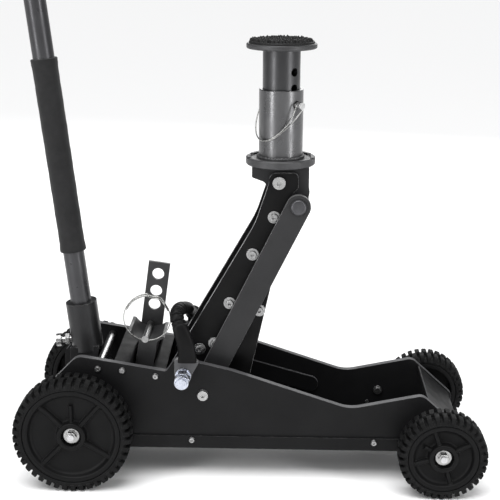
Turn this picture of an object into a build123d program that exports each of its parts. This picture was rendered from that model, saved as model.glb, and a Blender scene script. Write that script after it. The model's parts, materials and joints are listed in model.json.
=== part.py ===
"""Off-road hydraulic floor jack with a pinned extension on the saddle.

Side views are drawn on side(y): distance ahead of the rear axle across, height above ground up.
The finished frame has +X towards the saddle end, +Z up and its origin under the middle of the box.
"""
import os
from math import atan2, cos, degrees, radians, sin

from build123d import *

# ---- driving dimensions, mm --------------------------------------------------------------------
wheelbase = 560
rear_tyre_r, rear_rim_r, rear_width, rear_face = 90, 75, 46, 143
front_tyre_r, front_rim_r, front_width, front_face = 67, 53.5, 44.5, 149
axle_r = 9
wheel_clearance, nut_gap = 0.05, 9

frame_bottom = 50.5
plate_out, plate_t = 84, 10
plate_in = plate_out - plate_t
skid_t = 3

arm_pivot = (166, 172)
arm_reach = (143, 291)
link_offset = (29.5, -34)
arm_out, arm_t = 40, 8
arm_in = arm_out - arm_t
link_out, link_t, link_w = 55, 8, 37
head_out, head_t = 31.5, 7.5
head_top = 484.5
crank_r, crank_angle = 60, 34
pin_fit = 0.05

column_x = 310.7
collar_r, collar_t = 52.7, 12
outer_tube_r, outer_tube_bore, outer_tube_top = 33.3, 28.4, 598.5
inner_tube_r, inner_tube_bore = 28.1, 22
pad_plate_bottom, pad_plate_t = 658.3, 8
hole_pitch, pin_height, lock_pin_r = 24, 577, 5
pin_azimuth = 44

handle_pivot = (9, 158)
handle_lean = 6.35
handle_length = 1060
handle_tube_r, grip_r = 16.4, 19
socket_r, socket_flat, socket_top = 24.5, 21.2, 102.6

pump_shelf_top = 108

arm_top = (arm_pivot[0] + arm_reach[0], arm_pivot[1] + arm_reach[1])
link_foot = (arm_pivot[0] + link_offset[0], arm_pivot[1] + link_offset[1])
link_top = (arm_top[0] + link_offset[0], arm_top[1] + link_offset[1])
crank = (arm_pivot[0] + crank_r * sin(radians(crank_angle)),
         arm_pivot[1] - crank_r * cos(radians(crank_angle)))

# the handle's domed end reaches furthest back and the front tyres furthest forward
dome_centre = handle_length - grip_r
rear_reach = handle_pivot[0] - dome_centre * sin(radians(handle_lean)) - grip_r
rear_x = -(rear_reach + wheelbase + front_tyre_r) / 2


def side(y):
    """Side-view plane at width y, facing the right-hand side (-Y)."""
    return Plane(origin=(rear_x, y, 0), x_dir=(1, 0, 0), z_dir=(0, -1, 0))


def level(height):
    """Plan-view plane at a height, with its origin on the lifting column's axis."""
    return Plane(origin=(rear_x + column_x, 0, height), x_dir=(1, 0, 0), z_dir=(0, 0, 1))


def up_handle(distance):
    """Plane square to the handle, at a distance up it from its pivot; its X is the front of the handle."""
    lean = radians(handle_lean)
    foot = (rear_x + handle_pivot[0] - distance * sin(lean), 0, handle_pivot[1] + distance * cos(lean))
    return Plane(origin=foot, x_dir=(cos(lean), 0, sin(lean)), z_dir=(-sin(lean), 0, cos(lean)))


pieces = {}


def keep(name, part):
    """File a finished piece under its node name."""
    part.label = name
    pieces[name] = part


def mirrored(part):
    """The same piece on the other side of the jack."""
    return mirror(part, about=Plane.XZ)


# ---- side plates ---------------------------------------------------------------------------------
plate_points = [
    (-28, 53.5), (-46, 72), (-46, 148), (3, 199), (139.5, 176), (155, 199), (242, 178),
    (421, 118.5), (533, 142), (600, 81), (600, 62), (590, 53.5),
]
plate_corners = [8, 10, 12, 20, 5, 12, 90, 60, 16, 8, 5, 3]
side_screws = [(34.5, 178.5), (72, 176.5), (123, 167.7)]
skid_screws = [(178, 64), (460, 64)]
screw_r, screw_head_r, screw_head_t = 3, 5.2, 3.2
doubler_centre, doubler_tilt, doubler_length, doubler_t = (312, 110.5), -15.6, 134, 4

with BuildPart() as side_plate:
    with BuildSketch(side(-plate_in)):
        with BuildLine():
            FilletPolyline(*plate_points, radius=plate_corners, close=True)
        make_face()
    extrude(amount=plate_t)
    for centre, radius in [((0, rear_tyre_r), axle_r), ((wheelbase, front_tyre_r), axle_r),
                           (arm_pivot, 12), (link_foot, 6)]:
        with BuildSketch(side(-plate_in)):
            with Locations(centre):
                Circle(radius)
        extrude(amount=plate_t, mode=Mode.SUBTRACT)
    with BuildSketch(side(-plate_in)):
        with Locations(*side_screws, *skid_screws):
            Circle(screw_r)
    extrude(amount=plate_t, mode=Mode.SUBTRACT)
    with BuildSketch(side(-plate_in)):
        with Locations(Location((*doubler_centre, 0), (0, 0, doubler_tilt))):
            SlotOverall(doubler_length, 26)
    extrude(amount=-doubler_t)
keep("side_plate_right", side_plate.part)
keep("side_plate_left", mirrored(side_plate.part))

# ---- skid plate: a channel folded up over the foot of both side plates ---------------------------
skid_from, skid_to, skid_lip = -24, 586, 71

with BuildPart() as skid_plate:
    with BuildSketch(Plane(origin=(rear_x + skid_from, 0, 0), x_dir=(0, 1, 0), z_dir=(1, 0, 0))):
        half = plate_out + skid_t
        with BuildLine():
            Polyline((-half, skid_lip), (-half, frame_bottom), (half, frame_bottom), (half, skid_lip),
                     (plate_out, skid_lip), (plate_out, frame_bottom + skid_t),
                     (-plate_out, frame_bottom + skid_t), (-plate_out, skid_lip), close=True)
        make_face()
    extrude(amount=skid_to - skid_from)
    with BuildSketch(side(half)):
        with Locations(*skid_screws):
            Circle(screw_r)
        with Locations((wheelbase, front_tyre_r)):
            Circle(axle_r + 5)
    extrude(amount=2 * half, mode=Mode.SUBTRACT)
keep("skid_plate", skid_plate.part)

# ---- front cross plate, bent down the slope between the side plates ------------------------------
with BuildPart() as cross_plate:
    with BuildSketch(side(-plate_in)):
        with BuildLine():
            FilletPolyline((543, 132), (557, 118), (594, 84), (594, 79), (591, 79), (555, 112),
                           (541, 126), radius=[2, 1, 1, 0.5, 0.5, 1, 0.5], close=True)
        make_face()
    extrude(amount=-2 * plate_in)
keep("front_cross_plate", cross_plate.part)

# ---- tie rod and the small button-head screws ----------------------------------------------------
with BuildPart() as tie_rod:
    with BuildSketch(side(-plate_in)):
        with Locations(side_screws[0]):
            Circle(6)
    extrude(amount=-2 * plate_in)
    for y, way in [(-plate_in, -1), (plate_in, 1)]:
        with BuildSketch(side(y)):
            with Locations(side_screws[0]):
                Circle(screw_r + 0.5)
        extrude(amount=way * 14, mode=Mode.SUBTRACT)
keep("tie_rod", tie_rod.part)


def button_screws(centres, face, depth):
    """Socket button-head screws on both sides, heads on a face at that width."""
    with BuildPart() as screws:
        for centre in centres:
            with BuildSketch(side(-face)):
                with Locations(centre):
                    Circle(screw_head_r)
            extrude(amount=screw_head_t, taper=24)
            with BuildSketch(side(-face)):
                with Locations(centre):
                    Circle(screw_r)
            extrude(amount=-depth)
            with BuildSketch(side(-face - screw_head_t)):
                with Locations(centre):
                    RegularPolygon(1.9, 6)
            extrude(amount=-2, mode=Mode.SUBTRACT)
        mirror(about=Plane.XZ)
    return screws.part


inner_nut_centre = (477.4, 85.1)
with BuildPart() as inner_nuts:
    with BuildSketch(side(-plate_in)):
        with Locations(inner_nut_centre):
            Circle(7.5)
    extrude(amount=-1.2)
    with BuildSketch(side(-plate_in + 1.2)):
        with Locations(inner_nut_centre):
            RegularPolygon(5.8, 6)
    extrude(amount=-4)
    mirror(about=Plane.XZ)

keep("frame_screws", Compound(children=[
    button_screws(side_screws, plate_out, plate_t),
    button_screws(skid_screws, plate_out + skid_t, skid_t + plate_t),
    inner_nuts.part,
]))


# ---- wheels --------------------------------------------------------------------------------------
rib_angles = (49, 135, 226, 329)
stub_rib_angle = 90


def wheel(x, tyre_r, rim_r, width, face, turn, lugs):
    """Rim and tyre on the right-hand side, drawn from the outer face inwards."""
    hub = (x, tyre_r)
    web_depth, web_t, rib_depth = 15, 6, 6
    barrel_r = rim_r - 8
    with BuildPart() as rim:
        with BuildSketch(side(-face + 2)):
            with Locations(hub):
                Circle(rim_r)
                Circle(barrel_r, mode=Mode.SUBTRACT)
        extrude(amount=4 - width)
        with BuildSketch(side(-face + web_depth)):
            with Locations(hub):
                Circle(barrel_r + 1)
        extrude(amount=-web_t)
        with BuildSketch(side(-face + rib_depth)):
            with Locations(hub):
                for angle in rib_angles:
                    with Locations(Location((0, 0, 0), (0, 0, angle + turn))):
                        with Locations((barrel_r / 2 + 8, 0)):
                            Rectangle(barrel_r - 14, 7)
                with Locations(Location((0, 0, 0), (0, 0, stub_rib_angle + turn))):
                    with Locations((barrel_r * 0.45, 0)):
                        Rectangle(barrel_r * 0.45, 6)
        extrude(amount=rib_depth - web_depth)
        with BuildSketch(side(-face + 1)):
            with Locations(hub):
                Circle(22)
        extrude(amount=1 - web_depth)
        with BuildSketch(side(-face + web_depth)):
            with Locations(hub):
                Circle(17)
        extrude(amount=web_depth + 1 - width)
        with BuildSketch(side(-face)):
            with Locations(hub):
                Circle(15)
        extrude(amount=-nut_gap - 0.5, mode=Mode.SUBTRACT)
        with BuildSketch(side(-face)):
            with Locations(hub):
                Circle(axle_r + wheel_clearance)
        extrude(amount=-width, mode=Mode.SUBTRACT)

    groove_depth, shoulder = 6, 5
    with BuildPart() as tyre:
        with BuildSketch(side(-face)):
            with Locations(hub):
                Circle(tyre_r)
                Circle(rim_r, mode=Mode.SUBTRACT)
        extrude(amount=-width)
        outer_edges = tyre.edges().filter_by(GeomType.CIRCLE).group_by(SortBy.RADIUS)[-1]
        chamfer(outer_edges, shoulder)
        for row, start in enumerate((0, 0.5)):
            pitch = 360 / lugs
            with BuildSketch(side(-face + row * (width / 2 + 1))):
                with Locations(hub):
                    for lug in range(lugs):
                        with Locations(Location((0, 0, 0), (0, 0, -90 + (lug + start + 0.5) * pitch))):
                            with Locations((tyre_r - groove_depth / 2 + 1, 0)):
                                Rectangle(groove_depth + 2, radians(pitch) * tyre_r * 0.42)
            extrude(amount=1 - width / 2, mode=Mode.SUBTRACT)
    return rim.part, tyre.part


for end, sizes in {
    "rear": (0, rear_tyre_r, rear_rim_r, rear_width, rear_face, 0, 42),
    "front": (wheelbase, front_tyre_r, front_rim_r, front_width, front_face, 60, 34),
}.items():
    rim_right, tyre_right = wheel(*sizes)
    keep(f"{end}_rim_right", rim_right)
    keep(f"{end}_rim_left", mirrored(rim_right))
    keep(f"{end}_tyre_right", tyre_right)
    keep(f"{end}_tyre_left", mirrored(tyre_right))

# ---- axles with their end nuts -------------------------------------------------------------------
nut_t = 6
axle_ends = [("rear", (0, rear_tyre_r), rear_face), ("front", (wheelbase, front_tyre_r), front_face)]
for end, centre, face in axle_ends:
    with BuildPart() as axle:
        with BuildSketch(side(0)):
            with Locations(centre):
                Circle(axle_r)
        extrude(amount=face - nut_gap, both=True)
        axle_collar = face - (rear_width if end == "rear" else front_width) - 0.5
        with BuildSketch(side(-plate_out)):
            with Locations(centre):
                Circle(axle_r + 5)
        extrude(amount=axle_collar - plate_out)
        with BuildSketch(side(plate_out)):
            with Locations(centre):
                Circle(axle_r + 5)
        extrude(amount=plate_out - axle_collar)
        with BuildSketch(side(0)):
            with Locations(centre):
                Circle(5)
        extrude(amount=face + 1, both=True)
    keep(f"{end}_axle", axle.part)

with BuildPart() as axle_nuts:
    for centre, face in [((0, rear_tyre_r), rear_face), ((wheelbase, front_tyre_r), front_face)]:
        with BuildSketch(side(-face + nut_gap - 1.5)):
            with Locations(centre):
                RegularPolygon(8.4, 6)
                Circle(5, mode=Mode.SUBTRACT)
        extrude(amount=nut_t)
        with BuildSketch(side(-face + nut_gap)):
            with Locations(centre):
                Circle(12)
                Circle(5, mode=Mode.SUBTRACT)
        extrude(amount=1.5)
    mirror(about=Plane.XZ)
keep("axle_nuts", axle_nuts.part)

# ---- arm: two plates on spacers, swinging on the arm shaft ---------------------------------------
arm_points = [
    (294, 478), (338, 478), (338, 455), (330, 447), (263, 140), (232, 104), (195, 104),
    (138.7, 164.5), (273, 398.5), (294, 462),
]
arm_corners = [12, 8, 3, 3, 10, 14, 14, 18, 150, 20]
spacer_centres = [(302, 410), (270, 351.5), (235, 273), (280.5, 262), (211, 206.7), (188, 197)]
spacer_r, arm_bolt_r, crank_pin_r, head_shaft_r, bolt_head_t = 8, 4, 8, 8, 5

with BuildPart() as arm_plate:
    with BuildSketch(side(-arm_in)):
        with BuildLine():
            FilletPolyline(*arm_points, radius=arm_corners, close=True)
        make_face()
    extrude(amount=arm_t)
    for centre, radius in [(arm_pivot, 12 + pin_fit), (arm_top, head_shaft_r), (crank, crank_pin_r)]:
        with BuildSketch(side(-arm_in)):
            with Locations(centre):
                Circle(radius)
        extrude(amount=arm_t, mode=Mode.SUBTRACT)
    with BuildSketch(side(-arm_in)):
        with Locations(*spacer_centres):
            Circle(arm_bolt_r)
    extrude(amount=arm_t, mode=Mode.SUBTRACT)
keep("arm_plate_right", arm_plate.part)
keep("arm_plate_left", mirrored(arm_plate.part))

with BuildPart() as arm_spacers:
    with BuildSketch(side(0)):
        with Locations(*spacer_centres):
            Circle(spacer_r)
            Circle(arm_bolt_r, mode=Mode.SUBTRACT)
    extrude(amount=arm_in, both=True)
keep("arm_spacers", arm_spacers.part)

with BuildPart() as arm_bolts:
    with BuildSketch(side(0)):
        with Locations(*spacer_centres):
            Circle(arm_bolt_r)
    extrude(amount=arm_out, both=True)
    for radius, height, taper in [(9.5, 1.5, 0), (6.5, bolt_head_t, 12)]:
        with BuildSketch(side(-arm_out)):
            with Locations(*spacer_centres):
                Circle(radius)
        extrude(amount=height, taper=taper)
        with BuildSketch(side(arm_out)):
            with Locations(*spacer_centres):
                Circle(radius)
        extrude(amount=-height, taper=-taper if taper else 0)
    for y, way in [(-arm_out - bolt_head_t, -1), (arm_out + bolt_head_t, 1)]:
        with BuildSketch(side(y)):
            with Locations(*spacer_centres):
                RegularPolygon(2.9, 6)
        extrude(amount=way * 3, mode=Mode.SUBTRACT)
keep("arm_bolts", arm_bolts.part)

with BuildPart() as crank_pin:
    with BuildSketch(side(0)):
        with Locations(crank):
            Circle(crank_pin_r)
    extrude(amount=arm_out, both=True)
keep("crank_pin", crank_pin.part)

with BuildPart() as head_shaft:
    with BuildSketch(side(0)):
        with Locations(arm_top):
            Circle(head_shaft_r)
    extrude(amount=arm_out, both=True)
    with BuildSketch(side(-arm_out)):
        with Locations(arm_top):
            Circle(9.6)
    extrude(amount=4.6)
    with BuildSketch(side(-arm_out - 4.6)):
        with Locations(arm_top):
            RegularPolygon(4.2, 6)
    extrude(amount=-3, mode=Mode.SUBTRACT)
    with BuildSketch(side(arm_out)):
        with Locations(arm_top):
            Circle(9.6)
    extrude(amount=-4.6)
keep("head_shaft", head_shaft.part)

# ---- arm shaft with the plated nuts that also clamp the carry handle -----------------------------
lug_t, washer_t = 6, 2.5
stud_end = 126

with BuildPart() as arm_shaft:
    with BuildSketch(side(0)):
        with Locations(arm_pivot):
            Circle(12)
    extrude(amount=plate_out, both=True)
    with BuildSketch(side(0)):
        with Locations(arm_pivot):
            Circle(8)
    extrude(amount=stud_end, both=True)
    with BuildSketch(side(0)):
        with Locations(arm_pivot):
            Circle(18)
            Circle(12, mode=Mode.SUBTRACT)
    extrude(amount=arm_in - 0.5, both=True)
keep("arm_shaft", arm_shaft.part)

with BuildPart() as arm_shaft_nuts:
    out = plate_out + lug_t
    with BuildSketch(side(-out)):
        with Locations(arm_pivot):
            Circle(12)
            Circle(8, mode=Mode.SUBTRACT)
    extrude(amount=washer_t)
    with BuildSketch(side(-out - washer_t)):
        with Locations(arm_pivot):
            RegularPolygon(11.6, 6)
            Circle(8, mode=Mode.SUBTRACT)
    extrude(amount=16)
    with BuildSketch(side(-out - washer_t - 16)):
        with Locations(arm_pivot):
            Circle(9.4)
            Circle(8, mode=Mode.SUBTRACT)
    extrude(amount=9)
    with BuildSketch(side(-out - washer_t - 25)):
        with Locations(arm_pivot):
            Circle(10.8)
            Circle(8, mode=Mode.SUBTRACT)
    extrude(amount=3)
    with BuildSketch(side(-out - washer_t - 28)):
        with Locations(arm_pivot):
            RegularPolygon(9.6, 6)
            Circle(8, mode=Mode.SUBTRACT)
    extrude(amount=3)
    mirror(about=Plane.XZ)
keep("arm_shaft_nuts", arm_shaft_nuts.part)

# ---- links that keep the head level --------------------------------------------------------------
link_length = (arm_reach[0] ** 2 + arm_reach[1] ** 2) ** 0.5
link_in = link_out - link_t
link_lean = degrees(atan2(arm_reach[1], arm_reach[0]))
link_foot_r, link_pin_r, open_pivot_gap = 12, 9, 0.3

with BuildPart() as link_bar:
    with BuildSketch(side(-link_in)):
        with Locations(Location((link_foot[0] + arm_reach[0] / 2, link_foot[1] + arm_reach[1] / 2, 0),
                                (0, 0, link_lean))):
            SlotCenterToCenter(link_length, link_w)
        with Locations(link_foot):
            Circle(link_foot_r + pin_fit, mode=Mode.SUBTRACT)
        with Locations(link_top):
            Circle(link_pin_r + open_pivot_gap, mode=Mode.SUBTRACT)
    extrude(amount=link_t)
keep("link_bar_right", link_bar.part)
keep("link_bar_left", mirrored(link_bar.part))

with BuildPart() as link_bolts:
    with BuildSketch(side(-plate_out)):
        with Locations(link_foot):
            Circle(9.5)
    extrude(amount=4.5, taper=20)
    with BuildSketch(side(-plate_out - 4.5)):
        with Locations(link_foot):
            RegularPolygon(3.4, 6)
    extrude(amount=-3, mode=Mode.SUBTRACT)
    with BuildSketch(side(-plate_out)):
        with Locations(link_foot):
            Circle(6)
    extrude(amount=-plate_t)
    with BuildSketch(side(-plate_in)):
        with Locations(link_foot):
            Circle(link_foot_r)
    extrude(amount=link_in - 0.1 - plate_in)
    with BuildSketch(side(-plate_in)):
        with Locations(link_foot):
            Circle(15)
    extrude(amount=link_out + 0.5 - plate_in)
    with BuildSketch(side(0.1 - link_in)):
        with Locations(link_foot):
            Circle(14)
    extrude(amount=-1.3)
    mirror(about=Plane.XZ)
keep("link_bolts", link_bolts.part)

# ---- saddle head: a bent bracket between the arm plates ------------------------------------------
head_in = head_out - head_t
head_plate_bottom = head_top - 10
stem_r = 14

with BuildPart() as saddle_head:
    with BuildSketch(side(-head_in)):
        with BuildLine():
            FilletPolyline((268, head_top), (268, 469), (287, 462), (297, 444), (322, 413), (350, 412),
                           (354, 426), (354, head_top), radius=[1, 3, 8, 6, 12, 8, 6, 1], close=True)
        make_face()
        with Locations(arm_top):
            Circle(head_shaft_r + pin_fit, mode=Mode.SUBTRACT)
        with Locations(link_top):
            Circle(link_pin_r, mode=Mode.SUBTRACT)
    extrude(amount=head_t)
    mirror(about=Plane.XZ)
    with BuildSketch(level(head_plate_bottom)):
        with Locations((311 - column_x, 0)):
            Rectangle(86, 2 * head_in)
    extrude(amount=head_top - head_plate_bottom)
    with BuildSketch(level(head_plate_bottom)):
        Circle(stem_r + pin_fit)
    extrude(amount=head_top - head_plate_bottom, mode=Mode.SUBTRACT)
keep("saddle_head", saddle_head.part)

with BuildPart() as link_pins:
    with BuildSketch(side(-head_in)):
        with Locations(link_top):
            Circle(link_pin_r)
    extrude(amount=link_out + 0.4 - head_in)
    with BuildSketch(side(-arm_out - 0.6)):
        with Locations(link_top):
            Circle(12.5)
    extrude(amount=link_in - 0.4 - arm_out - 0.6)
    with BuildSketch(side(-link_out - 0.4)):
        with Locations(link_top):
            Circle(12.2)
    extrude(amount=5)
    fillet(link_pins.faces().sort_by(Axis.Y)[0].edges(), 4)
    mirror(about=Plane.XZ)
keep("link_pins", link_pins.part)

# ---- saddle: dished collar, outer tube, pinned inner tube and the pad on top ---------------------
collar_bottom = head_top + 0.1
collar_top = collar_bottom + collar_t
notch_angles, notch_w = (20, 160, 200, 340), 9

with BuildPart() as saddle_collar:
    with BuildSketch(level(collar_bottom)):
        Circle(collar_r)
    extrude(amount=collar_t)
    chamfer(saddle_collar.edges().filter_by(GeomType.CIRCLE), 1.5)
    with BuildSketch(level(collar_top - 2.5)):
        Circle(collar_r - 7)
        Circle(outer_tube_r + 3, mode=Mode.SUBTRACT)
    extrude(amount=2.5, mode=Mode.SUBTRACT)
    with BuildSketch(level(collar_top - 2.5)):
        for angle in notch_angles:
            with Locations(Location((0, 0, 0), (0, 0, angle))):
                with Locations((collar_r - 3, 0)):
                    Rectangle(10, notch_w)
    extrude(amount=2.5, mode=Mode.SUBTRACT)
    with BuildSketch(level(collar_bottom)):
        Circle(stem_r)
    extrude(amount=head_plate_bottom + 1 - collar_bottom)
keep("saddle_collar", saddle_collar.part)

across_pin = Plane(origin=(rear_x + column_x, 0, pin_height),
                   z_dir=(sin(radians(pin_azimuth)), -cos(radians(pin_azimuth)), 0))
side_holes = [hole_pitch * step for step in range(-2, 3)]
lock_hole_r = lock_pin_r + 1.3

with BuildPart() as outer_tube:
    with BuildSketch(level(collar_top)):
        Circle(outer_tube_r)
        Circle(outer_tube_bore, mode=Mode.SUBTRACT)
    extrude(amount=outer_tube_top - collar_top)
    chamfer(outer_tube.edges().filter_by(GeomType.CIRCLE).group_by(Axis.Z)[-1], 0.8)
    with BuildSketch(across_pin):
        Circle(lock_hole_r)
    extrude(amount=60, both=True, mode=Mode.SUBTRACT)
keep("extension_outer_tube", outer_tube.part)

inner_tube_foot = 520
with BuildPart() as inner_tube:
    with BuildSketch(level(inner_tube_foot)):
        Circle(inner_tube_r)
        Circle(inner_tube_bore, mode=Mode.SUBTRACT)
    extrude(amount=pad_plate_bottom - inner_tube_foot)
    for rise in side_holes:
        with BuildSketch(across_pin):
            with Locations(across_pin.to_local_coords(Vector(rear_x + column_x, 0, pin_height + rise))):
                Circle(lock_hole_r)
        extrude(amount=60, both=True, mode=Mode.SUBTRACT)
keep("extension_inner_tube", inner_tube.part)

with BuildPart() as top_plate:
    with BuildSketch(level(pad_plate_bottom)):
        Circle(collar_r)
    extrude(amount=pad_plate_t)
    fillet(top_plate.edges().filter_by(GeomType.CIRCLE), 2.5)
keep("top_plate", top_plate.part)

pad_r, pad_t, stud_base, stud_height, stud_rings = 49, 3, 3.2, 3, 5
pad_bottom = pad_plate_bottom + pad_plate_t
with BuildPart() as grip_pad:
    with BuildSketch(level(pad_bottom)):
        Circle(pad_r)
    extrude(amount=pad_t)
    with BuildSketch(level(pad_bottom + pad_t)):
        Circle(stud_base)
        for ring in range(1, stud_rings):
            with PolarLocations(ring * 10.5, 6 * ring):
                Circle(stud_base)
    extrude(amount=stud_height, taper=28)
keep("grip_pad", grip_pad.part)

# ---- lock pin through the extension and its wire keeper ------------------------------------------
wire_r = 1.5
pin_head_r, pin_head_t = 5.5, 8

with BuildPart() as extension_pin:
    with BuildSketch(across_pin):
        Circle(lock_pin_r)
    extrude(amount=42, both=True)
    with BuildSketch(across_pin.offset(37)):
        Circle(pin_head_r)
    extrude(amount=pin_head_t)
keep("extension_pin", extension_pin.part)

keeper_drop, keeper_reach, keeper_depth = 55, 40.5, 65
keeper_x = across_pin.z_dir
keeper_side = Vector(-cos(radians(pin_azimuth)), -sin(radians(pin_azimuth)), 0)
keeper_down = keeper_side * cos(radians(keeper_drop)) - Vector(0, 0, sin(radians(keeper_drop)))
keeper_plane = Plane(origin=across_pin.origin, x_dir=keeper_x, z_dir=keeper_x.cross(keeper_down))
with BuildPart() as extension_pin_ring:
    with BuildLine(keeper_plane):
        half_loop = EllipticalCenterArc((0, 0), keeper_reach, keeper_depth, start_angle=0, arc_size=180)
    with BuildSketch(Plane(origin=half_loop @ 0, z_dir=half_loop % 0)):
        Circle(wire_r)
    sweep()
keep("extension_pin_ring", extension_pin_ring.part)

# ---- hydraulic unit ------------------------------------------------------------------------------
ram_height, ram_r, cylinder_r, reservoir_r = 117, 14, 20, 30
block_from, block_to, block_half = 14, 40, 32
cylinder_end, reservoir_end = 108, 104
bore_foot = 20.5
ear_in, ear_t, pivot_bolt_r = 23, 10, 8


def along_ram(x):
    """Plane square to the ram at a distance ahead of the rear axle, with its origin on the ram's axis."""
    return Plane(origin=(rear_x + x, 0, ram_height), x_dir=(0, 1, 0), z_dir=(1, 0, 0))


valve_r = 5
with BuildPart() as hydraulic_block:
    with BuildSketch(side(0)):
        with BuildLine():
            Polyline((block_from, 72), (block_to, 72), (block_to, 150), (block_from, 150), close=True)
        make_face()
    extrude(amount=block_half, both=True)
    with BuildSketch(side(0)):
        with BuildLine():
            Polyline((-28, 101), (block_from, 101), (block_from, pump_shelf_top), (-28, pump_shelf_top),
                     close=True)
        make_face()
    extrude(amount=18, both=True)
    with BuildSketch(side(0)):
        with Locations(handle_pivot):
            Circle(20)
    extrude(amount=22.5, both=True, mode=Mode.SUBTRACT)
    with BuildSketch(side(0)):
        with BuildLine():
            Polyline((5, pump_shelf_top), (24, pump_shelf_top), (24, 134), (5, 134), close=True)
        make_face()
    extrude(amount=11, both=True)
    with BuildSketch(side(-ear_in)):
        with Locations(handle_pivot):
            Circle(15)
        with BuildLine():
            Polyline((-5, 152), (block_from, 112), (block_to, 112), (block_to, 150), (21, 167), close=True)
        make_face()
        with Locations(handle_pivot):
            Circle(pivot_bolt_r, mode=Mode.SUBTRACT)
    extrude(amount=ear_t)
    with BuildSketch(side(ear_in)):
        with Locations(handle_pivot):
            Circle(15)
        with BuildLine():
            Polyline((-5, 152), (block_from, 112), (block_to, 112), (block_to, 150), (21, 167), close=True)
        make_face()
        with Locations(handle_pivot):
            Circle(pivot_bolt_r, mode=Mode.SUBTRACT)
    extrude(amount=-ear_t)
    with BuildSketch(side(0)):
        with Locations((27, 92)):
            Circle(11)
    extrude(amount=plate_in, both=True)
    with BuildSketch(along_ram(bore_foot)):
        Circle(ram_r + pin_fit)
    extrude(amount=block_to - bore_foot, mode=Mode.SUBTRACT)
    with BuildSketch(up_handle(-44)):
        Circle(valve_r + pin_fit)
    extrude(amount=30, mode=Mode.SUBTRACT)
    with BuildSketch(up_handle(-23)):
        Circle(9)
    extrude(amount=20, mode=Mode.SUBTRACT)
keep("hydraulic_block", hydraulic_block.part)

with BuildPart() as ram_cylinder:
    with BuildSketch(along_ram(block_to)):
        Circle(cylinder_r)
        Circle(ram_r + pin_fit, mode=Mode.SUBTRACT)
    extrude(amount=cylinder_end - block_to)
keep("ram_cylinder", ram_cylinder.part)

with BuildPart() as reservoir_tube:
    with BuildSketch(along_ram(block_to)):
        Circle(reservoir_r)
        Circle(reservoir_r - 3, mode=Mode.SUBTRACT)
    extrude(amount=reservoir_end - block_to)
    with BuildSketch(along_ram(reservoir_end - 6)):
        Circle(reservoir_r - 3)
        Circle(cylinder_r, mode=Mode.SUBTRACT)
    extrude(amount=6)
keep("reservoir_tube", reservoir_tube.part)

ram_foot = bore_foot + 2 * crank_r * sin(radians(crank_angle))
slot_gap = 1.3
with BuildPart() as ram:
    with BuildSketch(along_ram(ram_foot)):
        Circle(ram_r)
    extrude(amount=crank[0] - 18 - ram_foot)
    with BuildSketch(side(0)):
        with Locations((crank[0], ram_height)):
            RectangleRounded(38, 44, 5)
            RectangleRounded(2 * (crank_pin_r + slot_gap), 28, 6, mode=Mode.SUBTRACT)
    extrude(amount=16, both=True)
keep("ram", ram.part)

# ---- hand pump: barrel, plunger and return spring ------------------------------------------------
roller_arm, roller_angle, roller_r = 21, 27.5, 8
roller = (handle_pivot[0] - roller_arm * cos(radians(roller_angle)),
          handle_pivot[1] + roller_arm * sin(radians(roller_angle)))
pump_axis = handle_pivot[0] - 19.8
cap_face = roller[1] - roller_r - 0.4
cap_t, cap_r, plunger_r, barrel_r = 5, 11, 6, 9.5
pump_stroke = 2 * roller_arm * sin(radians(roller_angle))
barrel_top = cap_face - cap_t - pump_stroke - 0.5


def over_pump(height):
    """Plan-view plane at a height, with its origin on the pump's axis."""
    return Plane(origin=(rear_x + pump_axis, 0, height), x_dir=(1, 0, 0), z_dir=(0, 0, 1))


with BuildPart() as pump_barrel:
    with BuildSketch(over_pump(pump_shelf_top)):
        Circle(barrel_r)
        Circle(plunger_r + pin_fit, mode=Mode.SUBTRACT)
    extrude(amount=barrel_top - pump_shelf_top)
keep("pump_barrel", pump_barrel.part)

with BuildPart() as pump_plunger:
    with BuildSketch(over_pump(pump_shelf_top + pump_stroke + 0.5)):
        Circle(plunger_r)
    extrude(amount=cap_face - pump_shelf_top - pump_stroke - 0.5)
    with BuildSketch(over_pump(cap_face - cap_t)):
        Circle(cap_r)
    extrude(amount=cap_t)
keep("pump_plunger", pump_plunger.part)

spring_r, spring_wire, spring_turns = 11, 1.2, 7
spring_height = cap_face - cap_t - pump_shelf_top - 2 * spring_wire - 0.4
with BuildPart() as pump_spring:
    with BuildLine(over_pump(pump_shelf_top + spring_wire + 0.2)):
        coil = Helix(pitch=spring_height / spring_turns, height=spring_height, radius=spring_r)
    with BuildSketch(Plane(origin=coil @ 0, z_dir=coil % 0)):
        Circle(spring_wire)
    sweep(is_frenet=True)
keep("pump_spring", pump_spring.part)

with BuildPart() as release_valve:
    with BuildSketch(up_handle(-40)):
        Circle(valve_r)
    extrude(amount=24)
    with BuildSketch(up_handle(-22)):
        Circle(8)
    extrude(amount=12)
    with BuildSketch(up_handle(-15)):
        Rectangle(20, 5)
    extrude(amount=6, mode=Mode.SUBTRACT)
keep("release_valve", release_valve.part)

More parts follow.
